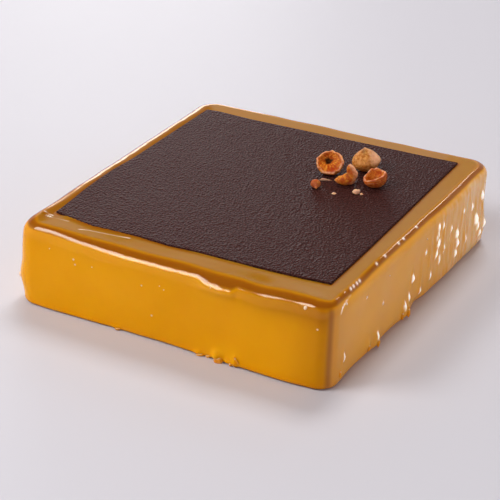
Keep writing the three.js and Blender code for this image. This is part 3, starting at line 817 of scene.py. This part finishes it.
def whole_nut(finish):
    place, half_sizes, lean, way = WHOLE_NUT
    bm, part, around = nut_ball()
    radius, height, _ = section_at(WHOLE_SECTION, part)
    points = lumpy(turned(radius, height, around), 0.035, 0.8, 0.4)
    # One flat facet high on the right as the viewer sees it, and a shoulder below it.
    right = 0.34 * points[:, 0] - 0.94 * points[:, 1]
    front = -0.94 * points[:, 0] - 0.34 * points[:, 1]
    facet = bell(right, points[:, 2], 0.62, 0.5, 0.3) * (front > -0.3)
    shoulder = bell(right, points[:, 2], 1.0, -0.1, 0.32)
    points *= (1 - 0.09 * facet + 0.06 * shoulder)[:, None]
    # A pale tip, a painted highlight on the right, and a dark smudge beside the tip.
    rough = noise_at(points, 0.22, 9.0)
    tip = np.exp(-(part / 0.07) ** 2)
    right_highlight = smooth_step(0.05, 0.7, right + 0.35 * rough) * smooth_step(-0.5, 0.1, points[:, 2])
    smudge = bell(right, points[:, 2], -0.1, 0.93, 0.17) * (front > -0.1)
    points = stood(points * np.array(half_sizes), place, lean, way)
    # Painted shade: the red brown towards the bottom of the nut.
    nut_piece("round_hazelnut", "hazelnut_whole", bm, points, finish, 0.5 * tip + 0.65 * right_highlight,
              0.55 * smudge, 0.35 * np.exp(-((part - 0.95) / 0.25) ** 2))


def half_nut(finish):
    place, half_sizes, lean, turn = HALF_NUT
    bm, part, around = nut_ball()
    radius, height, way = section_at(HALF_SECTION, part)
    rim, hole = way[HALF_RIM], way[HALF_HOLE]
    inside = part < rim
    # Fine furrows run from the hole to the rim, which is notched, and the hole sits to one side.
    furrow = np.sin(17 * around + 2.5 * np.sin(2 * around) + 4)
    furrow *= np.exp(-((part - 0.5 * (rim + hole)) / 0.12) ** 2)
    height = height + 0.025 * furrow * inside
    notch = 0.03 * np.sin(9 * around + 1) + 0.02 * np.sin(14 * around)
    radius = radius * (1 + notch * np.exp(-((part - rim) / 0.1) ** 2))
    points = lumpy(turned(radius, height, around), 0.05, 0.7, 2.1)
    shift = inside * (1 - smooth_step(0.25, 0.95, radius))
    points[:, 0] -= 0.13 * shift
    points[:, 1] += 0.25 * shift
    # Pale crumbs along the rim, painted shade in the hole with its uneven edge, and a red place at the front
    # right.
    crumbly = noise_at(points, 0.16, 7.0)
    on_rim = np.exp(-((part - rim - 0.01) / 0.03) ** 2)
    points *= (1 + 0.05 * crumbly * on_rim)[:, None]
    pale = on_rim * (0.5 + 0.9 * crumbly)
    edge = hole * (1 + 0.2 * np.sin(3 * around + 1) + 0.12 * np.sin(5 * around))
    dark = 0.9 * (1 - smooth_step(edge * 0.7, edge * 1.35, part))
    stain = bell(points[:, 0], points[:, 1], 0.3, -0.6, 0.42) * (0.8 + crumbly)
    red = inside * (0.25 + 0.3 * furrow + stain)
    points = stood(points * np.array(half_sizes), place, lean, turn)
    nut_piece("open_hazelnut", "hazelnut_half", bm, points, finish, pale, dark, red)


def cupped_nut(finish):
    place, half_sizes, lean, turn = CUPPED_NUT
    bm, part, around = nut_ball()
    radius, height, way = section_at(CUP_SECTION, part)
    rim = way[CUP_RIM]
    inside = part < rim
    on_rim = np.exp(-((part - rim) / 0.16) ** 2)
    # Round the rim, 0 faces the viewer and a quarter turn on is to the right: it stands highest at the
    # back and at the right, and dips at the front left.
    rise = 0.3 * np.exp(-((np.abs(around) - 2.9) / 0.4) ** 2) + 0.12 * np.exp(-((around - 1.5) / 0.5) ** 2)
    rise = rise - 0.16 * np.exp(-((around + 0.9) / 0.6) ** 2)
    points = lumpy(turned(radius, height + rise * on_rim, around), 0.05, 0.8, 4.4)
    # Streaks of skin run round the outside, and the broken rim is pale.
    streaks = np.sin(26 * points[:, 2] + 3 * noise_at(points, 0.6, 2.0))
    points *= (1 + 0.006 * streaks * ~inside)[:, None]
    pale = np.exp(-((part - rim) / 0.035) ** 2) * (0.45 + 0.3 * np.sin(9 * around))
    pale += 0.15 * streaks * ~inside
    red = 0.6 * ~inside + 0.3 * inside
    points = stood(points * np.array(half_sizes), place, lean, turn)
    # Painted shade darkens the floor of the cup.
    nut_piece("broken_hazelnut", "hazelnut_cupped", bm, points, finish, pale, 0.25 * (part < 0.5 * rim), red)


def bent_body(spine, widths, part, around, flat=1.0):
    """A body drawn along a bent line: its middle, and its half width at even steps along the line."""
    spine = np.array(spine, dtype=float)
    steps = np.linspace(0, 1, len(spine))

    def spine_at(share):
        return np.stack([eased(steps, spine[:, axis], share) for axis in range(3)], axis=1)

    # Even steps along the line are taken from pole to pole, so the ends close like a ball's.
    along = (1 - np.cos(part * math.pi)) / 2
    forward = spine_at(np.minimum(along + 0.02, 1)) - spine_at(np.maximum(along - 0.02, 0))
    forward /= np.linalg.norm(forward, axis=1)[:, None]
    depth = np.array([0.0, 1.0, 0.0]) - forward * forward[:, 1:2]
    depth /= np.linalg.norm(depth, axis=1)[:, None]
    across = np.cross(forward, depth)
    width = np.interp(along, np.linspace(0, 1, len(widths)), widths) * np.sin(part * math.pi) ** 0.55
    sideways = (width * np.cos(around))[:, None] * across
    return spine_at(along) + sideways + (flat * width * np.sin(around))[:, None] * depth


def split_nut(finish):
    bm, part, around = nut_ball()
    points = bent_body(SPLIT_SPINE, SPLIT_WIDTHS, part, around, 0.95)
    points = lumpy(points / 5, 0.05, 0.45, 1.7) * 5
    rough = noise_at(points, 1.1, 3.0)
    outer = smooth_step(-0.1, 0.9, -np.cos(around)) * smooth_step(0.35, 0.6, part)
    pale = (0.8 * outer + 0.6 * np.exp(-(part / 0.16) ** 2)) * (0.8 + 0.9 * rough)
    red = 0.7 * bell(points[:, 0], points[:, 2], 2.0, 6.0, 1.6)
    red += 0.5 * bell(points[:, 0], points[:, 2], -0.5, 1.8, 2.5)
    points = stood(points, SPLIT_NUT_PLACE, 0, VIEWER)
    nut_piece("split_hazelnut", "hazelnut_split", bm, points, finish, pale, 0.0, red)


def nut_bit(finish):
    place, half_sizes, lean, way = NUT_BIT
    bm, part, around = nut_ball()
    radius, height, _ = section_at(DROP_SECTION, part)
    points = lumpy(turned(radius, height, around), 0.05, 0.8, 2.6) * np.array(half_sizes)
    red = 0.45 + 0.5 * smooth_step(0.45, 0.85, part)
    nut_piece("hazelnut_drop", "hazelnut_bit", bm, stood(points, place, lean, way), finish,
              0.15 * (1 - part), 0.0, red)


def crumbs(finish):
    for index, (name, (place, half_sizes, turn)) in enumerate(CRUMBS.items()):
        bm = bmesh.new()
        bmesh.ops.create_icosphere(bm, subdivisions=4, radius=1.0)
        bmesh.ops.recalc_face_normals(bm, faces=bm.faces)
        points = np.array([vert.co[:] for vert in bm.verts])
        points = lumpy(points, 0.3, 0.9, 3.0 + index) * np.array(half_sizes)
        nut_piece(name, "chocolate_sheet", bm, stood(points, place, 0, turn), finish, pale=1.0)


def skin_flake(finish):
    bm, part, around = nut_ball()
    points = bent_body(FLAKE_SPINE, FLAKE_WIDTHS, part, around, 0.6)
    points = stood(lumpy(points / 3, 0.08, 0.3, 6.0) * 3, FLAKE_PLACE, 0, VIEWER - 2)
    nut_piece("skin_flake", "chocolate_sheet", bm, points, finish, 0.45 + 0.4 * np.cos(around), 0.25)


def roasted_nut(name, deep, light):
    """Roasted hazelnut kernel: dry and matt, with dark skin left in places, pale broken edges, and some
    painted highlights and shade.
    """
    finish, tree = new_finish(name)
    place = add_node(tree, "ShaderNodeTexCoord")
    mottle = add_node(tree, "ShaderNodeTexNoise", {
        "Vector": place.outputs["Object"], "Scale": scale_of(1.5625), "Detail": 5.0, "Roughness": 0.7})
    contrast = add_node(tree, "ShaderNodeMapRange",
                        {"Value": mottle.outputs["Fac"], "From Min": 0.4, "From Max": 0.6})
    look = stored(tree, "nut_look")
    colour = mixed(tree, contrast.outputs["Result"], deep, light)
    # Each point's look: red brown, pale and dark, some of it painted highlight and painted shade.
    colour = mixed(tree, look["Z"], colour, "#a83806")
    colour = mixed(tree, look["X"], colour, "#f8bc92")
    colour = mixed(tree, look["Y"], colour, "#3c2416")
    bump = add_node(tree, "ShaderNodeBump",
                    {"Height": mottle.outputs["Fac"], "Strength": 0.7, "Distance": 0.6 * MM})
    shader = add_node(tree, "ShaderNodeBsdfPrincipled", {
        "Base Color": colour,
        "Roughness": 0.5,
        "Specular IOR Level": 0.2,
        "Subsurface Weight": 0.3,
        "Subsurface Radius": (1.0, 0.4, 0.15),
        "Subsurface Scale": 1.5 * MM,
        "Normal": bump.outputs["Normal"],
    })
    finish_with(tree, shader)
    return finish


def nuts():
    inner = roasted_nut("roasted hazelnut, broken open", "#b84c08", "#ee9830")
    whole_nut(roasted_nut("roasted hazelnut, skin rubbed off", "#b4641a", "#e2a054"))
    half_nut(inner)
    cupped_nut(inner)
    split_nut(inner)
    nut_bit(inner)
    crumb = roasted_nut("hazelnut crumbs", "#7c6656", "#c8b098")
    crumbs(crumb)
    skin_flake(crumb)


# ---- floor, lights and camera ----

FLOOR_SIZE = 3.0

# Each light's place and size in metres, its power in watts, and whether the glaze mirrors it. The low
# one draws the line along the right rim, the strip the one along the front rim, and the panel gives the
# left rim its shine. The others only light the cake: a key from behind, a fill and a window.
LIGHTS = {
    "high back softbox": ((-0.3, 1.62, 2.75), (1.15, 1.05), 48, False),
    "high front softbox": ((-0.1, -0.9, 2.0), (1.0, 0.8), 6, False),
    "low back edge": ((0.035, 0.93, 0.7), (0.07, 0.14), 0.3, True),
    "front left strip": ((-0.6, -0.52, 0.75), (0.44, 0.28), 6, True),
    "far left panel": ((-0.74, 0.94, 0.25), (0.42, 0.3), 1.6, True),
    "right window": ((1.13, 0.22, 0.25), (0.4, 0.3), 1.6, False),
}
LIT_POINT = (0, 0, 0.03)

# The camera stands where the photo was taken from: bearing from -Y towards +X, height and roll in
# radians, then distance and target in mm, and the lens.
VIEW_BEARING, VIEW_HEIGHT, VIEW_ROLL = math.radians(31.464), math.radians(28.197), math.radians(-1.359)
VIEW_DISTANCE = 774.0
VIEW_TARGET = (-12.33, 11.1, 0.0)
LENS_MM, SENSOR_MM = 117.609, 36.0


def pale_floor():
    bm = bmesh.new()
    bmesh.ops.create_grid(bm, x_segments=1, y_segments=1, size=FLOOR_SIZE)
    mesh = bpy.data.meshes.new("floor")
    bm.to_mesh(mesh)
    bm.free()
    finish, tree = new_finish("pale matt floor")
    shader = add_node(tree, "ShaderNodeBsdfPrincipled",
                      {"Base Color": linear("#d2cfd4"), "Roughness": 0.5})
    finish_with(tree, shader)
    mesh.materials.append(finish)
    floor = bpy.data.objects.new("floor", mesh)
    bpy.context.scene.collection.objects.link(floor)


def soft_light(name, place, size, power, mirrored):
    light = bpy.data.lights.new(name, "AREA")
    light.shape = "RECTANGLE"
    light.size, light.size_y = size
    light.energy = power
    lamp = bpy.data.objects.new(name, light)
    bpy.context.scene.collection.objects.link(lamp)
    lamp.location = place
    lamp.rotation_euler = (Vector(place) - Vector(LIT_POINT)).to_track_quat("Z", "Y").to_euler()
    lamp.visible_glossy = mirrored


def studio():
    # A pale room around the table, dark above, with the lights in it.
    world = bpy.data.worlds.new("soft studio")
    bpy.context.scene.world = world
    world.use_nodes = True
    tree = world.node_tree
    tree.nodes.clear()
    way = add_node(tree, "ShaderNodeTexCoord")
    height = add_node(tree, "ShaderNodeSeparateXYZ", {"Vector": way.outputs["Generated"]})
    rise = add_node(tree, "ShaderNodeMapRange", {
        "Value": height.outputs["Z"], "From Min": 0.48, "From Max": 0.66, "To Min": 0.7, "To Max": 0.06,
    }, interpolation_type="SMOOTHSTEP")
    sky = add_node(tree, "ShaderNodeBackground",
                   {"Color": linear("#f1ebf2"), "Strength": rise.outputs["Result"]})
    add_node(tree, "ShaderNodeOutputWorld", {"Surface": sky.outputs["Background"]})
    for name, settings in LIGHTS.items():
        soft_light(name, *settings)


def photo_camera():
    level = math.cos(VIEW_HEIGHT)
    back = Vector((math.sin(VIEW_BEARING) * level, -math.cos(VIEW_BEARING) * level, math.sin(VIEW_HEIGHT)))
    right = Vector((0, 0, 1)).cross(back).normalized()
    up = back.cross(right)
    rolled_right = right * math.cos(VIEW_ROLL) + up * math.sin(VIEW_ROLL)
    rolled_up = up * math.cos(VIEW_ROLL) - right * math.sin(VIEW_ROLL)
    place = (Vector(VIEW_TARGET) + back * VIEW_DISTANCE) * MM
    data = bpy.data.cameras.new("photo camera")
    data.lens = LENS_MM
    data.sensor_width = SENSOR_MM
    data.clip_start = 0.01
    camera = bpy.data.objects.new("photo camera", data)
    bpy.context.scene.collection.objects.link(camera)
    turn = Matrix((rolled_right, rolled_up, back)).transposed()
    camera.matrix_world = Matrix.Translation(place) @ turn.to_4x4()
    bpy.context.scene.camera = camera


photo_camera()
studio()
pale_floor()
bpy.context.scene.view_settings.view_transform = "Standard"
glaze = glazed_cake(caramel_glaze())
bubbles(glaze, bubble_highlight_paint())
drips(glaze, bright_drips())
chocolate_sheet(dark_chocolate())
nuts()
